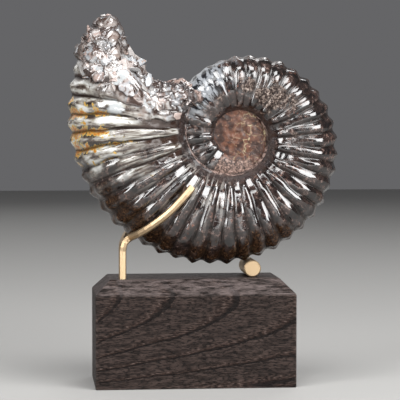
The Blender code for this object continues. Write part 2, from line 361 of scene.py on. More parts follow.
def section(outer, angle):
    """(distance from the axis, sideways offset) of the smooth section at an angle in radians."""
    middle = outer * (1.0 + SEAM_SHARE) / 2.0
    half_height = outer * (1.0 - SEAM_SHARE) / 2.0
    away = middle + half_height * signed_power(np.cos(angle), OUTER_SQUARENESS)
    side = outer * HALF_BREADTH_SHARE * signed_power(np.sin(angle), SIDE_SQUARENESS)
    return away, side * (1.0 - SHOULDER_BULGE * np.cos(angle))


def coil_points(turn, away, side):
    direction = np.radians(START_DIRECTION - turn)
    x = NUCLEUS_X + away * np.cos(direction)
    z = NUCLEUS_Z + away * np.sin(direction)
    return np.stack([x, side + 0.0 * x, z], axis=-1)


def broken_turn(away_share, side_share):
    fall = interpolate(SIDE_FALL, away_share) * side_share**2
    return interpolate(BROKEN_EDGE, away_share) - fall


def noise_at(points, size, seed=0.0):
    """Smooth noise from -1 to 1 at each point, with features of a size in metres."""
    flat = points.reshape(-1, 3) / size + seed
    values = np.array([noise.noise(p) for p in flat])
    return values.reshape(points.shape[:-1])


chance_table = np.random.default_rng(5).random((CHANCE_CELLS, CHANCE_CELLS, CHANCE_CELLS, 7))


def lumps(points, cell):
    """Breaks a surface up into tilted lumps about a cell across, with cracks between them.

    Returns their heights in cells, how deep in a crack each point is and each lump's own tone.
    """
    flat = points.reshape(-1, 3) / cell
    corner = np.floor(flat).astype(int)
    nearest = np.full(len(flat), np.inf)
    second = np.full(len(flat), np.inf)
    height = np.zeros(len(flat))
    tone = np.zeros(len(flat))
    for step in itertools.product((-1, 0, 1), repeat=3):
        place = corner + np.array(step)
        chance = chance_table[tuple((place % CHANCE_CELLS).T)]
        apart = flat - place - chance[:, :3]
        distance = np.sqrt((apart**2).sum(axis=1))
        tilted = 0.6 * (chance[:, 6] - 0.5) + ((chance[:, 3:6] - 0.5) * apart).sum(axis=1)
        closer = distance < nearest
        second = np.where(closer, nearest, np.minimum(second, distance))
        nearest = np.where(closer, distance, nearest)
        height = np.where(closer, tilted, height)
        tone = np.where(closer, chance[:, 3], tone)
    crack = 1.0 - smoothstep(0.0, CRACK_WIDTH, second - nearest)
    return height, crack, tone


def crowd(turn, edge):
    """Turns past the broken edge crowd up in front of it. Returns them and what is left of spacing."""
    past = np.maximum(turn + EDGE_EASE - edge, 0.0)
    crowded = edge - EDGE_EASE**2 / (EDGE_EASE + past)
    return np.where(past > 0.0, crowded, turn), (EDGE_EASE / (EDGE_EASE + past)) ** 2


def rib_relief(number, angle_deg):
    """Heights of ribs and knobs and how deep between two ribs, each from 0 to about 1."""
    nearest = np.round(number)
    phase = number - nearest
    around = np.abs(angle_deg)
    short = np.mod(nearest, 2.0)
    flank = smoothstep(*FLANK_ANGLES, around)
    roundness = EDGE_ROUNDNESS + (FLANK_ROUNDNESS - EDGE_ROUNDNESS) * flank
    rise = 1.0 - np.abs(2.0 * phase) ** roundness
    rise *= 1.0 - smoothstep(*RIB_END_FADE, around)
    rise *= 1.0 - short * smoothstep(*SHORT_RIB_FADE, around)
    rise *= LOWEST_RIB + (1.0 - LOWEST_RIB) * chance_table[0, 0, nearest.astype(int) % CHANCE_CELLS, 0]
    groove = smoothstep(*GROOVE_PHASES, np.abs(2.0 * phase)) * (1.0 - smoothstep(*GROOVE_END_FADE, around))
    knobs = sum(share * bump(around, angle, width) for angle, width, share in KNOB_ROWS)
    return rise, knobs * plateau(phase, 0.0, KNOB_HALF_LENGTH), groove


def whorl_surface(numbers, angles, inset=0.0, worn_fade=None):
    """Points of the tube on a grid of rib places by angles, with what the materials need to know."""
    number, angle = np.meshgrid(numbers, angles, indexing="ij")
    angle_deg = np.degrees(angle)
    ahead = RIB_LEAN * np.minimum(1.0, np.abs(angle_deg) / UMBILICUS_ANGLE) ** 2
    unit_away, unit_side = section(1.0, angle)
    edge = broken_turn(unit_away, unit_side / HALF_BREADTH_SHARE)
    turn, spacing_left = crowd(turn_of_rib(number) + ahead, edge)
    outer = tip_radius(turn - ahead) - TIP_WEAR * smoothstep(*WEAR_TURNS, turn)
    height = np.minimum(RIB_HEIGHT, RIB_HEIGHT_SHARE * outer)
    away, side = section(outer - height - inset, angle)
    smooth = coil_points(turn, away, side)
    wander = RIB_WANDER * noise_at(smooth, RIB_WANDER_SIZE)
    rise, knobs, groove = rib_relief(number + wander, angle_deg)
    worn = 1.0
    if worn_fade:
        worn = WORN_RIBS + (1.0 - WORN_RIBS) * smoothstep(*worn_fade, turn)
    polished = bump(turn, *POLISHED_TURNS) * smoothstep(*POLISHED_EASE, 180.0 - np.abs(angle_deg))
    rise = rise * worn * (1.0 - POLISHED_OFF * polished * (turn > POLISHED_FROM))
    out = height * rise + KNOB_HEIGHT * np.minimum(1.0, height / RIB_HEIGHT) * (knobs - 1.0) * rise
    out = out * spacing_left
    out += sum(dent * noise_at(smooth, size, seed) for dent, size, seed in UNEVENNESS)
    points = coil_points(turn, away + out * np.cos(angle), side + out * np.sin(angle))
    facts = {
        "turn": turn,
        "share": away / outer,
        "angle": angle_deg,
        "rise": rise,
        "groove": groove * worn * (1.0 - polished),
        "number": number,
    }
    return points, facts


def mouth_cap(angles):
    """Rings of points that close the broken mouth, with the same facts as the whorl's surface."""
    shares = np.linspace(1.0, 0.0, CAP_RINGS + 1)[1:-1]
    share, angle = np.meshgrid(shares, angles, indexing="ij")
    middle = (1.0 + SEAM_SHARE) / 2.0
    away, side = section(1.0, angle)
    away = middle + share * (away - middle)
    side = side * share
    turn = broken_turn(away, side / HALF_BREADTH_SHARE)
    turn = turn - CAP_HOLLOW * (1.0 - share)
    outer = tip_radius(turn) - RIB_HEIGHT - TIP_WEAR * smoothstep(*WEAR_TURNS, turn)
    points = coil_points(turn, outer * away, outer * side)
    facts = {
        "turn": turn,
        "share": away,
        "angle": np.degrees(angle),
        "rise": np.ones_like(turn),
        "groove": np.zeros_like(turn),
        "number": turn / CAP_GRAIN,
    }
    return points, facts


def tube_faces(ring_count, ring_size):
    """Quads between rings, a fan at each end round a last and a next-to-last single point."""
    ring = np.arange(ring_count - 1)[:, None] * ring_size
    step = np.arange(ring_size)[None, :]
    after = (step + 1) % ring_size
    quads = np.stack([ring + step, ring + after, ring + ring_size + after, ring + ring_size + step], axis=-1)
    start, end = ring_count * ring_size, ring_count * ring_size + 1
    last = (ring_count - 1) * ring_size
    faces = quads.reshape(-1, 4).tolist()
    faces += [(start, (i + 1) % ring_size, i) for i in range(ring_size)]
    faces += [(end, last + i, last + (i + 1) % ring_size) for i in range(ring_size)]
    return faces


def new_object(name, points, faces):
    mesh = bpy.data.meshes.new(name)
    mesh.from_pydata(points, [], faces)
    obj = bpy.data.objects.new(name, mesh)
    bpy.context.scene.collection.objects.link(obj)
    return obj


def closed_tube(name, points, facts):
    """A mesh object through rings of points, closed by a point at the middle of each end."""
    rings, ring_size = points.shape[:2]
    ends = [points[0].mean(axis=0), points[-1].mean(axis=0)]
    flat = np.concatenate([points.reshape(-1, 3), ends])
    values = {}
    for fact, grid in facts.items():
        edges = [grid[0].mean(), grid[-1].mean()]
        values[fact] = np.concatenate([grid.reshape(-1), edges])
    return new_object(name, flat.tolist(), tube_faces(rings, ring_size)), values


def mesh_values(items, field, width=3):
    """Numbers read from a mesh, a row for each vertex."""
    values = np.empty(len(items) * width)
    items.foreach_get(field, values)
    return values.reshape(-1, width)


def set_attribute(mesh, name, values):
    layer = mesh.attributes.new(name, "FLOAT", "POINT")
    layer.data.foreach_set("value", np.clip(values, 0.0, 1.0).astype(np.float32))


def set_grain(mesh, facts):
    """A place to read streaks from that runs along the ribs: rib number, then angle."""
    grain = np.stack([facts["number"], facts["angle"] / 20.0, 0.0 * facts["angle"]], axis=-1)
    layer = mesh.attributes.new("grain", "FLOAT_VECTOR", "POINT")
    layer.data.foreach_set("vector", grain.astype(np.float32).reshape(-1))


def pale_share(points):
    """Where smooth pale pieces of shell have stayed whole on the front, from 0 to 1."""
    ragged = 0.5 * noise_at(points, 0.004, 6.0)
    share = np.zeros(len(points))
    for x, z, half in PALE_PATCHES:
        away = np.hypot(points[:, 0] - x, points[:, 2] - z) / half
        share = np.maximum(share, 1.0 - smoothstep(0.8, 1.1, away + ragged))
    return share * (points[:, 1] < 0.0)


def rubble_share(points, facts):
    """Where the shell has crumbled into crystal rubble, from 0 to 1."""
    wander = RUBBLE_WANDER * noise_at(points, RUBBLE_WANDER_SIZE, 1.7)
    past = facts["turn"] - interpolate(RUBBLE_EDGE, facts["share"]) + wander
    return smoothstep(0.0, RUBBLE_FADE, past)


def amber_share(turn, share, rise, wide, patchy):
    """Amber stains: on the outer part of the body chamber, and a spot lower down the flank."""
    stained = smoothstep(294.0, 306.0, turn + 6.0 * wide) * (1.0 - smoothstep(326.0, 334.0, turn))
    stained = stained * smoothstep(0.40, 0.82, share + 0.12 * patchy) * (1.0 - 0.32 * rise)
    return np.maximum(stained, 0.8 * bump(turn, 288.0, 14.0) * bump(share, 0.58, 0.09))


def brown_share(turn, share, pearl, wide, patchy):
    """The rough brown outer rim: narrow at first, then wider."""
    early = 0.45 * smoothstep(0.86, 0.97, share + 0.05 * wide) * smoothstep(15.0, 50.0, turn)
    late = smoothstep(0.68, 0.92, share + 0.11 * wide + 0.05 * patchy)
    late = 0.80 * late * smoothstep(140.0, 200.0, turn)
    return np.maximum(early, late) * (1.0 - 0.8 * pearl)


def mark_shell(mesh, facts, rubble):
    """Writes the zones that the shell's material reads: each is a share from 0 to 1."""
    points = mesh_values(mesh.vertices, "co")
    turn, share, rise = facts["turn"], facts["share"], facts["rise"]
    around = np.abs(facts["angle"])
    wide = noise_at(points, 0.016, 4.0)
    patchy = noise_at(points, 0.007, 9.0)
    across, above = points[:, 0] - NUCLEUS_X, points[:, 2] - NUCLEUS_Z
    bearing = np.degrees(np.arctan2(above, across))
    away = np.hypot(above, across)
    outside = turn > LAST_WHORL_FROM
    pearl = smoothstep(280.0, 318.0, turn + 12.0 * wide)
    crushed = plateau(turn, 80.0, 72.0) * bump(share, 0.56, 0.24)
    crumbs = bump(bearing, -110.0, 60.0) * smoothstep(0.0135, 0.0190, away)
    zones = {name: facts[name] for name in ("pale", "tone", "depth", "rise")}
    zones |= {
        "rubble": rubble,
        "pearl": pearl,
        "amber": amber_share(turn, share, rise, wide, patchy),
        "silver": bump(turn, 6.0, 36.0) * smoothstep(0.45, 0.70, share) * (turn > -30.0),
        "crushed": crushed * smoothstep(-0.7, 0.1, wide),
        "brown": brown_share(turn, share, pearl, wide, patchy),
        "streaked": smoothstep(215.0, 260.0, turn) * (1.0 - smoothstep(0.50, 0.80, share)),
        "seam": smoothstep(153.5, 155.0, around) * outside * smoothstep(-0.5, 0.1, patchy),
        "wall": smoothstep(131.0, 140.0, around) * outside,
        "core": 1.0 - smoothstep(-115.0, -85.0, turn + 12.0 * wide),
        "crumbs": crumbs * (turn < LAST_WHORL_FROM),
        "veins": smoothstep(-0.006, 0.008, across - 0.3 * above),
        # The grooves between ribs: the material paints shade there and makes them duller.
        "groove": facts["groove"] * (1.0 - rubble),
    }
    for name, values in zones.items():
        set_attribute(mesh, name, values)
    set_grain(mesh, facts)


def held_inside(points):
    """Points near or past the sides of the solid's box, pressed back smoothly to stay within it."""
    low, high = np.array(cad_box[0]), np.array(cad_box[1])
    middle, limit = (low + high) / 2.0, (high - low) / 2.0 - PRESSED_ZONE
    past = np.maximum(np.abs(points - middle) - limit, 0.0)
    return points - np.sign(points - middle) * past * past / (past + PRESSED_ZONE)


def blade_bed(points):
    """Where the rubble makes room for the blade, from 0 to 1."""
    from_blade = np.linalg.norm(points - np.mean(BLADE_CORNERS, axis=0), axis=1)
    return 1.0 - smoothstep(*BLADE_BED_FADE, from_blade / BLADE_CLEARANCE)


def crumble(mesh, facts, rubble, whole):
    """Breaks up the crumbled mouth into lumps and chips, and notes their tones and cracks."""
    points = mesh_values(mesh.vertices, "co")
    bend = np.stack([noise_at(points, LUMP_BEND_SIZE, seed) for seed in (11.0, 12.0, 13.0)], axis=-1)
    bent = points + LUMP_BEND * bend
    large, large_crack, large_tone = lumps(bent, LUMP_SIZE)
    small, small_crack, small_tone = lumps(bent + CHIP_SHIFT, CHIP_SIZE)
    chipped = LUMP_HEIGHT * (large - LUMP_CRACK * large_crack)
    chipped += CHIP_HEIGHT * (small - CHIP_CRACK * small_crack)
    chipped *= 1.0 - PALE_SMOOTHNESS * whole
    bed = blade_bed(points)
    chipped = chipped * (1.0 - bed) - BLADE_BED * bed
    moved = points + mesh_values(mesh.vertex_normals, "vector") * (rubble * (chipped - RUBBLE_INSET))[:, None]
    points = np.where(rubble[:, None] > 0.0, held_inside(moved), points)
    mesh.vertices.foreach_set("co", points.reshape(-1))
    facts["tone"] = 0.65 * large_tone + 0.35 * small_tone
    # How deep in a crack each point lies: the material paints shade there.
    facts["depth"] = np.maximum(large_crack, 0.65 * small_crack) * (1.0 - whole)
    facts["pale"] = whole


def finish_shell(obj, facts, material):
    """Crumbles the mouth, marks the zones of the surface and gives it its material."""
    mesh = obj.data
    points = mesh_values(mesh.vertices, "co")
    rubble = rubble_share(points, facts)
    crumble(mesh, facts, rubble, pale_share(points))
    mark_shell(mesh, facts, rubble)
    mesh.polygons.foreach_set("use_smooth", [True] * len(mesh.polygons))
    mesh.materials.append(material)
    mesh.update()
    return obj


def last_whorl(material):
    """The last whorl from behind the mouth all the way round to the broken mouth."""
    angles = np.radians(np.linspace(-180.0, 180.0, OUTER_ANGLES, endpoint=False))
    first, last = OUTER_RIBS
    end = last * MOUTH_STATIONS + MOUTH_EXTRA_STATIONS
    coarse = np.arange(first * OUTER_STATIONS, MOUTH_RIB * OUTER_STATIONS) / OUTER_STATIONS
    fine = np.arange(MOUTH_RIB * MOUTH_STATIONS, end) / MOUTH_STATIONS
    numbers = np.concatenate([coarse, fine])
    inset = OUTER_INSET * (1.0 - smoothstep(first, first + 1.0, numbers))[:, None]
    points, facts = whorl_surface(numbers, angles, inset)
    cap_points, cap_facts = mouth_cap(angles)
    points = np.concatenate([points, cap_points])
    facts = {name: np.concatenate([facts[name], cap_facts[name]]) for name in facts}
    obj, values = closed_tube("ammonite_shell", points, facts)
    return finish_shell(obj, values, material)


def inner_whorls(material, red):
    """The earlier whorls, which show in the umbilicus. They run on just inside the last whorl."""
    angles = np.radians(np.linspace(-180.0, 180.0, INNER_ANGLES, endpoint=False))
    first, last = INNER_RIBS
    numbers = np.arange(first * INNER_STATIONS, last * INNER_STATIONS + 1) / INNER_STATIONS
    points, facts = whorl_surface(numbers, angles, worn_fade=WORN_FADE)
    obj, values = closed_tube("ammonite_inner_whorls", points, facts)
    finish_shell(obj, values, material)
    mesh = obj.data
    mesh.materials.append(red)
    core = mesh_values(mesh.attributes["core"].data, "value", 1)[:, 0]
    mesh.polygons.foreach_set("material_index", [int(core[face.vertices[0]] > 0.5) for face in mesh.polygons])
    return obj


def umbilical_disc(material):
    """The worn early whorls, nearly flat: a low lens with a trace of the spiral on both sides."""
    shares = np.concatenate([np.linspace(0.02, 1.0, DISC_RINGS), np.linspace(1.0, 0.02, DISC_RINGS)])
    sides = np.concatenate([-np.ones(DISC_RINGS), np.ones(DISC_RINGS)])
    angles = np.linspace(0.0, 2.0 * math.pi, DISC_SEGMENTS, endpoint=False)
    share, angle = np.meshgrid(shares, angles, indexing="ij")
    side = np.repeat(sides[:, None], DISC_SEGMENTS, axis=1)
    radius = share * DISC_RADIUS
    spiral = np.log(np.maximum(radius, 0.0005) / START_RADIUS) / math.log(WHORL_GROWTH)
    whorl = np.cos(2.0 * math.pi * spiral + angle - math.radians(START_DIRECTION))
    x = NUCLEUS_X + radius * np.cos(angle)
    z = NUCLEUS_Z + radius * np.sin(angle)
    flat = np.stack([x, 0.0 * x, z], axis=-1)
    depth = DISC_DEPTH + DISC_DOME * (1.0 - share**2) + DISC_SPIRAL * whorl
    depth += DISC_UNEVENNESS * noise_at(flat, 0.003, 2.0) - DISC_EDGE_DROP * smoothstep(0.93, 1.0, share)
    points = np.stack([x, side * depth, z], axis=-1)
    facts = {
        "turn": np.full_like(x, DISC_TURN),
        "share": share,
        "angle": np.full_like(x, 90.0),
        "rise": 0.5 + 0.5 * whorl,
        "groove": np.zeros_like(x),
        "number": spiral,
    }
    obj, values = closed_tube("ammonite_umbilical_disc", points, facts)
    return finish_shell(obj, values, material)


def fragment(centre, axes, chance, count):
    """Points and faces of one broken crystal: the hull of a few points on a stretched ball."""
    data = bmesh.new()
    for _ in range(count):
        direction = Vector([chance.gauss(0.0, 1.0) for _ in range(3)]).normalized()
        data.verts.new(centre + sum((axis * part for axis, part in zip(axes, direction)), Vector()))
    hull = bmesh.ops.convex_hull(data, input=data.verts)
    inside = [item for item in hull["geom_interior"] if isinstance(item, bmesh.types.BMVert)]
    bmesh.ops.delete(data, geom=inside, context="VERTS")
    data.verts.index_update()
    points = [vertex.co.copy() for vertex in data.verts]
    faces = [[vertex.index for vertex in face.verts] for face in data.faces]
    data.free()
    return points, faces


def crystal_axes(normal, size, chance):
    """Three half axes of a flat broken piece that lies on a surface, tilted a little."""
    lean = Vector([chance.gauss(0.0, CRYSTAL_LEAN) for _ in range(3)])
    thin_axis = (normal + lean).normalized()
    long_axis = thin_axis.orthogonal().normalized()
    long_axis.rotate(Quaternion(thin_axis, chance.uniform(0.0, 2.0 * math.pi)))
    return (
        long_axis * size * CRYSTAL_LENGTH,
        thin_axis.cross(long_axis) * size * chance.uniform(*CRYSTAL_WIDTHS),
        thin_axis * size * chance.uniform(*CRYSTAL_THICKNESSES),
    )


def crystal_size(number, centre):
    """Sizes fall from the first crystal to the last, and near the coil, the top and the outside."""
    size = CRYSTAL_LARGEST * (CRYSTAL_SMALLEST / CRYSTAL_LARGEST) ** (number / CRYSTAL_COUNT)
    near_coil = smoothstep(*CRYSTAL_NEAR_COIL, centre.x)
    near_top = smoothstep(*CRYSTAL_NEAR_TOP, centre.z)
    near_outside = CRYSTAL_OUTSIDE_SHRINK * (1.0 - smoothstep(*CRYSTAL_NEAR_OUTSIDE, centre.x))
    return size * (1.0 - CRYSTAL_SHRINK * float(max(near_coil, near_top, near_outside)))


def crystal_beds(mesh):
    """The faces of the rubble that crystals lie on, clear of the blade and of the tips."""
    rubble = mesh_values(mesh.attributes["rubble"].data, "value", 1)[:, 0]
    blade = Vector(np.mean(BLADE_CORNERS, axis=0))
    faces = [face for face in mesh.polygons if rubble[face.vertices[0]] > CRYSTAL_FROM]
    faces = [face for face in faces if (face.center - blade).length > BLADE_CLEARANCE]
    return [face for face in faces if face.center.z < CRYSTAL_TOP]


def plate_faces():
    """The faces of a plate: its front, its back and the rim between them."""
    size = PLATE_STEPS + 1
    index = np.arange(size * size).reshape(size, size)
    quads = np.stack([index[:-1, :-1], index[:-1, 1:], index[1:, 1:], index[1:, :-1]], axis=-1).reshape(-1, 4)
    rim = np.concatenate([index[:-1, 0], index[-1, :-1], index[:0:-1, -1], index[0, :0:-1]])
    after = np.roll(rim, -1)
    under = size * size
    faces = quads.tolist() + (quads[:, ::-1] + under).tolist()
    return faces + np.stack([rim, after, after + under, rim + under], axis=-1).tolist()


def plate(corners, bulge, seed):
    """Points and faces of a thin bent shard between four corners, with a ragged rounded outline."""
    top_left, top_right, low_right, low_left = (np.array(corner) for corner in corners)
    steps = np.linspace(-1.0, 1.0, PLATE_STEPS + 1)
    u, v = np.meshgrid(steps, steps, indexing="ij")
    rim_share = np.maximum(np.abs(u), np.abs(v))
    nibbled = 1.0 + noise_at(np.stack([u, v, 0.0 * u], axis=-1), 0.55, seed)
    ragged = 1.0 - PLATE_RAGGEDNESS * rim_share**2 * nibbled
    round_u = u * np.sqrt(1.0 - PLATE_ROUNDING * v * v) * ragged
    round_v = v * np.sqrt(1.0 - PLATE_ROUNDING * u * u) * ragged
    across, down = 0.5 + 0.5 * round_u[..., None], 0.5 + 0.5 * round_v[..., None]
    flat = (1.0 - down) * ((1.0 - across) * top_left + across * top_right)
    flat = flat + down * ((1.0 - across) * low_left + across * low_right)
    normal = np.cross(top_right - top_left, low_left - top_left)
    normal /= np.linalg.norm(normal)
    dome = (1.0 - u * u)[..., None] * (1.0 - v * v)[..., None]
    ripple = PLATE_RIPPLE * noise_at(flat, PLATE_RIPPLE_SIZE, seed)[..., None]
    front = flat + normal * (bulge * dome + ripple)
    back = front - normal * PLATE_THICKNESS
    return np.concatenate([front.reshape(-1, 3), back.reshape(-1, 3)]).tolist(), plate_faces()


def mouth_pieces(mesh):
    """The broken pieces over the mouth, each as (points and faces, tone)."""
    chance = random.Random(CRYSTAL_SEED)
    beds = crystal_beds(mesh)
    pieces = []
    for number, face in enumerate(chance.choices(beds, weights=[bed.area for bed in beds], k=CRYSTAL_COUNT)):
        size = crystal_size(number, face.center)
        normal = Vector(face.normal)
        axes = crystal_axes(normal, size, chance)
        centre = face.center - normal * size * CRYSTAL_SUNK
        pieces.append((fragment(centre, axes, chance, FRAGMENT_POINTS), chance.random()))
    for centre, size, tone in LUMPS:
        axes = [Vector(axis) * size * chance.uniform(*LUMP_AXES) for axis in np.eye(3)]
        pieces.append((fragment(Vector(centre), axes, chance, LUMP_POINTS), tone))
    for seed, (corners, bulge, tone) in enumerate(PLATES):
        pieces.append((plate(corners, bulge, seed), tone))
    return pieces


def moved_inside(points):
    """A whole piece, moved so that it stands out of the solid's box by no more than a little."""
    low = np.array(cad_box[0]) - PIECE_SLACK
    high = np.array(cad_box[1]) + PIECE_SLACK
    return points + np.maximum(low - points.min(axis=0), 0.0) - np.maximum(points.max(axis=0) - high, 0.0)


def mouth_crystals(shell, material):
    """Broken crystals and plates that lie over the crumbled mouth like scales, in all sizes."""
    points, faces, tones = [], [], []
    for (piece_points, piece_faces), tone in mouth_pieces(shell.data):
        first = len(points)
        points += moved_inside(np.array(piece_points)).tolist()
        faces += [[first + index for index in corners] for corners in piece_faces]
        tones += [tone] * len(piece_points)
    obj = new_object("ammonite_mouth_crystals", points, faces)
    mesh = obj.data
    set_attribute(mesh, "tone", np.array(tones))
    mesh.polygons.foreach_set("use_smooth", [len(face.vertices) == 4 for face in mesh.polygons])
    mesh.materials.append(material)
    return obj


def new_material(name):
    """A material, its node tree and the inputs of its shader."""
    material = bpy.data.materials.new(name)
    material.use_nodes = True
    tree = material.node_tree
    return material, tree, tree.nodes["Principled BSDF"].inputs


def add_node(tree, kind, inputs=None, **settings):
    """A shader node. Inputs that are sockets are linked, and others are set."""
    node = tree.nodes.new(kind)
    for setting, value in settings.items():
        setattr(node, setting, value)
    for key, value in (inputs or {}).items():
        if isinstance(value, bpy.types.NodeSocket):
            tree.links.new(value, node.inputs[key])
        else:
            node.inputs[key].default_value = value
    return node


def attribute(tree, name, output="Fac"):
    return add_node(tree, "ShaderNodeAttribute", attribute_name=name).outputs[output]


def ramp(tree, value, stops):
    """A colour for each value, from a list of (place, colour)."""
    node = add_node(tree, "ShaderNodeValToRGB", {"Fac": value})
    elements = node.color_ramp.elements
    while len(elements) < len(stops):
        elements.new(1.0)
    for element, (place, colour) in zip(elements, stops):
        element.position = place
        element.color = (*colour, 1.0)
    return node.outputs["Color"]


def math_node(tree, operation, first, second=0.0, third=0.0):
    inputs = {0: first, 1: second, 2: third}
    return add_node(tree, "ShaderNodeMath", inputs, operation=operation).outputs[0]


def product(tree, first, second):
    return math_node(tree, "MULTIPLY", first, second)


def multiply_add(tree, value, factor, addend):
    return math_node(tree, "MULTIPLY_ADD", value, factor, addend)


def mix(tree, factor, *colours):
    """Two colours mixed by a factor. Each colour is a socket or three numbers."""
    first, second = (c if isinstance(c, bpy.types.NodeSocket) else (*c, 1.0) for c in colours)
    return add_node(tree, "ShaderNodeMix", {0: factor, 6: first, 7: second}, data_type="RGBA").outputs[2]


def noise_node(tree, place, scale, detail=4.0, roughness=0.55, distortion=0.0):
    inputs = {
        "Vector": place,
        "Scale": scale,
        "Detail": detail,
        "Roughness": roughness,
        "Distortion": distortion,
    }
    return add_node(tree, "ShaderNodeTexNoise", inputs).outputs["Fac"]


def fade(tree, value, low, high):
    """A value brought to 0..1 between two limits, smoothly."""
    inputs = {"Value": value, "From Min": low, "From Max": high}
    return add_node(tree, "ShaderNodeMapRange", inputs, interpolation_type="SMOOTHSTEP").outputs[0]


def patches(tree, zone, texture, low, high):
    """Patches that fill a zone more, the stronger the zone is: a texture cut off by its strength."""
    lifted = multiply_add(tree, zone, 0.75, texture)
    return product(tree, fade(tree, lifted, low, high), fade(tree, zone, 0.02, 0.25))


def add_bumps(tree, inputs, height, strength, distance, normal=None):
    """Fine relief in the shading: the height is a texture."""
    settings = {"Strength": strength, "Distance": distance, "Height": height}
    if normal is not None:
        settings["Normal"] = normal
    tree.links.new(add_node(tree, "ShaderNodeBump", settings).outputs[0], inputs["Normal"])


def object_place(tree):
    return add_node(tree, "ShaderNodeTexCoord").outputs["Object"]


def stone_textures(tree, place):
    """The noises that every part of the fossil shares."""
    medium = noise_node(tree, place, 170.0, 4.0, distortion=0.8)
    fine = noise_node(tree, place, 480.0, 5.0, 0.65)
    return {
        "medium": medium,
        "fine": fine,
        "mottle": multiply_add(tree, fine, 0.40, product(tree, medium, 0.60)),
    }


def cracked_textures(tree, place):
    """Cracks, flakes and grit, over the noises that every part of the fossil shares."""
    look = stone_textures(tree, place)
    wander = add_node(tree, "ShaderNodeTexNoise", {"Vector": place, "Scale": 150.0}).outputs["Color"]
    inputs = {0: wander, 1: (0.006, 0.006, 0.006), 2: place}
    bent = add_node(tree, "ShaderNodeVectorMath", inputs, operation="MULTIPLY_ADD").outputs[0]
    inputs = {"Vector": bent, "Scale": 170.0}
    cracks = add_node(tree, "ShaderNodeTexVoronoi", inputs, feature="DISTANCE_TO_EDGE").outputs["Distance"]
    flakes = add_node(tree, "ShaderNodeTexVoronoi", {"Vector": bent, "Scale": 420.0}).outputs["Distance"]
    grit = noise_node(tree, place, 1000.0, 4.0, 0.65)
    look["cracks"] = fade(tree, cracks, 0.05, 0.0)
    look["flakes"] = flakes
    look["grit"] = multiply_add(tree, look["fine"], 0.45, product(tree, grit, 0.55))
    return look


def shell_textures(tree, place):
    """The textures of the shell itself: also wide clouds, fine grain and lines along the ribs."""
    look = cracked_textures(tree, place)
    inputs = {"Vector": attribute(tree, "grain", "Vector"), "Scale": (1.0, 0.30, 1.0)}
    along_ribs = add_node(tree, "ShaderNodeMapping", inputs).outputs[0]
    look["coarse"] = noise_node(tree, place, 60.0, 3.0)
    look["grain"] = noise_node(tree, place, 1500.0, 3.0, 0.6)
    look["streaks"] = noise_node(tree, along_ribs, 2.2, 4.0, 0.6)
    look["lines"] = noise_node(tree, along_ribs, 9.0, 3.0, 0.6)
    return look


def dark_shell(tree, look):
    """The smoky polished shell: near black, flecked, rusty brown towards the outer edge."""
    medium, fine, streaks = look["medium"], look["fine"], look["streaks"]
    colour = mix(tree, fade(tree, medium, 0.35, 0.65), (0.0032, 0.0020, 0.0018), (0.0260, 0.0155, 0.0130))
    flecks = product(tree, fade(tree, fine, 0.52, 0.63), fade(tree, medium, 0.44, 0.60))
    colour = mix(tree, flecks, colour, (0.13, 0.088, 0.074))
    rust = product(tree, fade(tree, look["coarse"], 0.57, 0.70), fade(tree, fine, 0.54, 0.68))
    colour = mix(tree, rust, colour, (0.095, 0.028, 0.013))
    brown = patches(tree, attribute(tree, "brown"), streaks, 0.75, 1.05)
    colour = mix(tree, brown, colour, ramp(tree, look["grit"], BROWN_RIM))
    lines = product(tree, fade(tree, streaks, 0.54, 0.60), attribute(tree, "streaked"))
    colour = mix(tree, lines, colour, (0.20, 0.185, 0.17))
    silver = patches(tree, attribute(tree, "silver"), streaks, 0.75, 1.15)
    silvery = mix(tree, fade(tree, streaks, 0.45, 0.57), (0.006, 0.007, 0.009), (0.20, 0.21, 0.225))
    colour = mix(tree, silver, colour, silvery)
    crushed = patches(tree, attribute(tree, "crushed"), medium, 0.95, 1.12)
    return mix(tree, crushed, colour, ramp(tree, look["grit"], CRUSHED_SHELL))


def pearly_shell(tree, look):
    """The body chamber's pale shell, with painted shade that darkens the grooves brown, and stains from
    greenish yellow to amber.
    """
    mottle = look["mottle"]
    colour = ramp(tree, look["streaks"], PEARL)
    colour = mix(tree, fade(tree, mottle, 0.54, 0.62), colour, (0.065, 0.045, 0.034))
    # Painted shade: where the ribs are low, in the grooves, the colour is darkened to brown.
    colour = mix(tree, fade(tree, attribute(tree, "rise"), 0.60, 0.10), colour, (0.030, 0.015, 0.010))
    stained = patches(tree, attribute(tree, "amber"), mottle, 1.05, 1.20)
    stained = product(tree, stained, fade(tree, look["grit"], 0.40, 0.52))
    return mix(tree, fade(tree, stained, 0.0, 0.45), colour, ramp(tree, stained, AMBER))


def rock_colour(tree, look):
    """Broken calcite: white, grey and pinkish pieces with brown veins and rusty stains."""
    mottle = look["mottle"]
    colour = ramp(tree, attribute(tree, "tone"), CALCITE)
    colour = mix(tree, fade(tree, mottle, 0.52, 0.60), colour, (0.085, 0.055, 0.044))
    return mix(tree, product(tree, fade(tree, mottle, 0.40, 0.34), 0.8), colour, (0.20, 0.11, 0.06))


def core_colour(tree, look):
    """The reddish brown early whorls, with cream veins and a crumbled border."""
    medium, fine = look["medium"], look["fine"]
    colour = mix(tree, fade(tree, medium, 0.36, 0.62), (0.024, 0.0095, 0.006), (0.105, 0.042, 0.024))
    colour = mix(tree, fade(tree, fine, 0.58, 0.72), colour, (0.26, 0.155, 0.105))
    veined = product(tree, look["cracks"], fade(tree, medium, 0.44, 0.60))
    veined = product(tree, veined, attribute(tree, "veins"))
    colour = mix(tree, product(tree, veined, 0.8), colour, (0.40, 0.36, 0.22))
    crumbs = patches(tree, attribute(tree, "crumbs"), medium, 0.70, 0.95)
    return mix(tree, crumbs, colour, ramp(tree, look["grit"], CORE_CRUMBS))


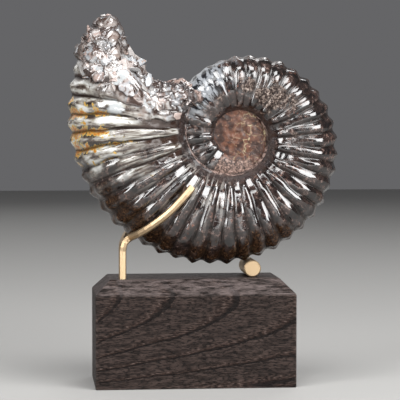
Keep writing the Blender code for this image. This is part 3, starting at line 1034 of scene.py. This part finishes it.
def shell_colour(tree, look, rubble, grooves):
    """Dark or pearly shell, the rubble in the mouth, the dark wall and pale seam of the coil, and painted
    shade in the grooves and the rubble's cracks.
    """
    fine = look["fine"]
    pearl = patches(tree, attribute(tree, "pearl"), look["coarse"], 0.75, 1.15)
    shell = mix(tree, pearl, dark_shell(tree, look), pearly_shell(tree, look))
    # Painted shade: the cracks between the rubble's lumps are darkened to dark brown.
    painted_crack_shade = product(tree, fade(tree, attribute(tree, "depth"), 0.35, 0.95), 0.95)
    rock = mix(tree, painted_crack_shade, rock_colour(tree, look), (0.028, 0.015, 0.011))
    shell = mix(tree, rubble, shell, rock)
    pale = product(tree, attribute(tree, "pale"), fade(tree, look["mottle"], 0.60, 0.46))
    shell = mix(tree, pale, shell, (0.34, 0.355, 0.36))
    # Painted shade: the grooves between ribs are darkened nearly to black.
    shell = mix(tree, product(tree, grooves, 0.8), shell, (0.007, 0.0045, 0.0035))
    wall = mix(tree, fade(tree, look["lines"], 0.42, 0.62), (0.004, 0.003, 0.003), (0.050, 0.040, 0.040))
    shell = mix(tree, product(tree, attribute(tree, "wall"), 0.75), shell, wall)
    seam = mix(tree, fade(tree, fine, 0.42, 0.56), (0.05, 0.03, 0.025), (0.32, 0.23, 0.20))
    return mix(tree, product(tree, attribute(tree, "seam"), 0.8), shell, seam)


def shell_material():
    """Polished fossil shell: dark or pearly and glossy, duller in grooves and where it is crushed."""
    material, tree, inputs = new_material("polished_shell")
    look = shell_textures(tree, object_place(tree))
    rubble = attribute(tree, "rubble")
    brown = attribute(tree, "brown")
    crushed = attribute(tree, "crushed")
    grooves = attribute(tree, "groove")
    tree.links.new(shell_colour(tree, look, rubble, grooves), inputs["Base Color"])

    rough = multiply_add(tree, fade(tree, look["fine"], 0.55, 0.75), 0.16, 0.06)
    for zone, amount in ((crushed, 0.20), (brown, 0.16), (grooves, 0.20), (rubble, 0.06)):
        rough = multiply_add(tree, zone, amount, rough)
    tree.links.new(rough, inputs["Roughness"])
    inputs["IOR"].default_value = 1.80

    dull = math_node(tree, "MAXIMUM", patches(tree, brown, look["streaks"], 0.80, 1.05), grooves)
    dull = math_node(tree, "MAXIMUM", dull, patches(tree, crushed, look["medium"], 0.95, 1.12))
    dull = product(tree, dull, math_node(tree, "SUBTRACT", 1.0, rubble))
    tree.links.new(multiply_add(tree, dull, -0.45, 0.5), inputs["Specular IOR Level"])

    height = multiply_add(tree, look["grain"], 0.10, look["fine"])
    for texture, amount in (("flakes", 0.25), ("lines", 0.06), ("cracks", -0.25)):
        height = multiply_add(tree, look[texture], amount, height)
    add_bumps(tree, inputs, height, 0.09, 0.0006)
    return material


def core_material():
    """The dull reddish early whorls in the middle of the coil."""
    material, tree, inputs = new_material("red_core")
    look = cracked_textures(tree, object_place(tree))
    tree.links.new(core_colour(tree, look), inputs["Base Color"])
    tree.links.new(multiply_add(tree, look["fine"], 0.30, 0.24), inputs["Roughness"])
    inputs["IOR"].default_value = 1.38
    add_bumps(tree, inputs, multiply_add(tree, look["cracks"], -0.5, look["fine"]), 0.35, 0.0006)
    return material


def crystal_material():
    """Glossy broken calcite for the crystals in the mouth."""
    material, tree, inputs = new_material("mouth_calcite")
    look = stone_textures(tree, object_place(tree))
    tree.links.new(rock_colour(tree, look), inputs["Base Color"])
    tree.links.new(multiply_add(tree, look["fine"], 0.34, 0.06), inputs["Roughness"])
    inputs["IOR"].default_value = 1.66
    add_bumps(tree, inputs, look["fine"], 0.18, 0.0005)
    return material


def growth_rings(tree, place, clouds, fibres):
    """How far through a year's ring each place is, 0 to 1: nested arcs round the upper left corner."""
    axes = add_node(tree, "ShaderNodeSeparateXYZ", {0: place}).outputs
    above = math_node(tree, "MAXIMUM", product(tree, axes["Z"], 1.0 / WOOD_HEIGHT), 0.0)
    below = math_node(tree, "SUBTRACT", 1.0, above)
    along = math_node(tree, "MAXIMUM", multiply_add(tree, axes["X"], 1.0 / WOOD_WIDTH, 0.5), 0.0)
    along = product(tree, math_node(tree, "POWER", along, WOOD_RING_CURVE), WOOD_RING_REACH)
    along = product(tree, along, math_node(tree, "POWER", above, 0.5))
    rings = multiply_add(tree, below, below, along)
    rings = math_node(tree, "ADD", rings, multiply_add(tree, axes["Y"], WOOD_RING_TILT, WOOD_FRONT))
    rings = multiply_add(tree, clouds, 0.05, rings)
    rings = multiply_add(tree, fibres, 0.025, rings)
    return math_node(tree, "FRACT", product(tree, rings, 1.0 / WOOD_RING))


def wood_material():
    """Blackened open-pored wood: nested growth lines, short pores along the grain, worn edges, and painted
    light on the upward faces.
    """
    material, tree, inputs = new_material("ebonised_wood")
    place = object_place(tree)
    stretched = add_node(tree, "ShaderNodeMapping", {"Vector": place, "Scale": (0.20, 1.0, 1.0)}).outputs[0]
    pores = noise_node(tree, stretched, 1550.0, 3.0, 0.6)
    fibres = noise_node(tree, stretched, 480.0, 5.0, 0.65)
    fibrous = fade(tree, fibres, 0.35, 0.65)
    year = growth_rings(tree, place, noise_node(tree, place, 28.0, 3.0), fibres)
    late = fade(tree, year, 0.55, 0.97)
    line = product(tree, fade(tree, year, 0.83, 0.93), fade(tree, year, 1.0, 0.97))
    pits = fade(tree, pores, 0.49, 0.40)
    flecks = product(tree, fade(tree, pores, 0.55, 0.64), fade(tree, late, 0.0, 0.6))
    geometry = add_node(tree, "ShaderNodeNewGeometry").outputs
    upward = add_node(tree, "ShaderNodeSeparateXYZ", {0: geometry["Normal"]}).outputs["Z"]
    # Painted light: faces that look upward are painted lighter, as if lit from above.
    painted_top_light = product(tree, fade(tree, upward, 0.2, 0.6), fibrous)
    rounded = add_node(tree, "ShaderNodeBevel", {"Radius": WOOD_WEAR}).outputs[0]
    ends = {0: rounded, 1: geometry["True Normal"]}
    facing = add_node(tree, "ShaderNodeVectorMath", ends, operation="DOT_PRODUCT").outputs["Value"]
    worn = product(tree, fade(tree, facing, 0.995, 0.94), fade(tree, fibres, 0.40, 0.60))

    colour = mix(tree, fibrous, (0.0085, 0.0052, 0.0042), (0.034, 0.0230, 0.0195))
    for mask, amount, over in (
        (late, 0.5, (0.023, 0.0105, 0.0068)),
        (pits, 0.85, (0.0022, 0.0015, 0.0013)),
        (flecks, 0.8, (0.080, 0.058, 0.050)),
        (line, 0.9, (0.0022, 0.0012, 0.0010)),
        (painted_top_light, 0.75, (0.092, 0.073, 0.070)),
        (worn, 0.8, (0.085, 0.066, 0.058)),
    ):
        colour = mix(tree, product(tree, mask, amount), colour, over)
    tree.links.new(colour, inputs["Base Color"])
    inputs["Roughness"].default_value = 0.5
    inputs["IOR"].default_value = 1.22
    height = multiply_add(tree, line, -0.8, multiply_add(tree, pits, -1.2, fibres))
    add_bumps(tree, inputs, height, 0.7, 0.0004, rounded)
    return material


def brass_material():
    """Pale satin brass, a little clouded."""
    material, tree, inputs = new_material("satin_brass")
    place = object_place(tree)
    clouds = noise_node(tree, place, 120.0, 4.0)
    tree.links.new(mix(tree, clouds, (0.44, 0.318, 0.190), (0.51, 0.382, 0.242)), inputs["Base Color"])
    inputs["Metallic"].default_value = 1.0
    rough = multiply_add(tree, noise_node(tree, place, 500.0, 3.0), 0.12, 0.40)
    tree.links.new(rough, inputs["Roughness"])
    return material


def floor_material():
    material, _, inputs = new_material("pale_floor")
    inputs["Base Color"].default_value = (*FLOOR_COLOUR, 1.0)
    inputs["Roughness"].default_value = 0.8
    return material


def make_floor():
    edge = FLOOR_HALF_WIDTH
    corners = [(-edge, -edge, 0.0), (edge, -edge, 0.0), (edge, edge, 0.0), (-edge, edge, 0.0)]
    floor = new_object("floor", corners, [(0, 1, 2, 3)])
    floor.data.materials.append(floor_material())


def make_camera():
    data = bpy.data.cameras.new("camera")
    data.lens = CAMERA_LENS
    data.sensor_width = CAMERA_SENSOR
    camera = bpy.data.objects.new("camera", data)
    camera.location = CAMERA_PLACE
    camera.rotation_euler = (math.radians(90.0 + CAMERA_PITCH), 0.0, math.radians(-CAMERA_YAW))
    bpy.context.scene.collection.objects.link(camera)
    bpy.context.scene.camera = camera


def softbox(name, direction, distance, size, radiance):
    """A soft light in a direction from the shell, of a width and height and a brightness."""
    width, height = size
    data = bpy.data.lights.new(name, "AREA")
    data.shape = "RECTANGLE"
    data.size = width
    data.size_y = height
    data.energy = radiance * math.pi * width * height
    light = bpy.data.objects.new(name, data)
    away = Vector(direction).normalized()
    light.location = Vector(SHELL_MIDDLE) + away * distance
    light.rotation_euler = away.to_track_quat("Z", "Y").to_euler()
    light.visible_camera = False
    bpy.context.scene.collection.objects.link(light)


def make_lights():
    for name, facts in LIGHTS.items():
        softbox(name, *facts)
    world = bpy.data.worlds.new("studio")
    world.use_nodes = True
    world.node_tree.nodes["Background"].inputs["Color"].default_value = (*STUDIO_COLOUR, 1.0)
    bpy.context.scene.world = world
    bpy.context.scene.view_settings.view_transform = "Standard"


def main():
    shell = shell_material()
    whorl = last_whorl(shell)
    crystals = mouth_crystals(whorl, crystal_material())
    red = core_material()
    for piece in (whorl, crystals, inner_whorls(shell, red), umbilical_disc(red)):
        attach(piece, "root")
        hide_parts("ammonite")
    wood = wood_material()
    brass = brass_material()
    looks = {"wood_block": wood, "brass_front_rod": brass, "brass_back_arm": brass, "brass_peg": brass}
    for name, material in looks.items():
        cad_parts[name].material_slots[0].material = material
    make_floor()
    make_camera()
    make_lights()


main()
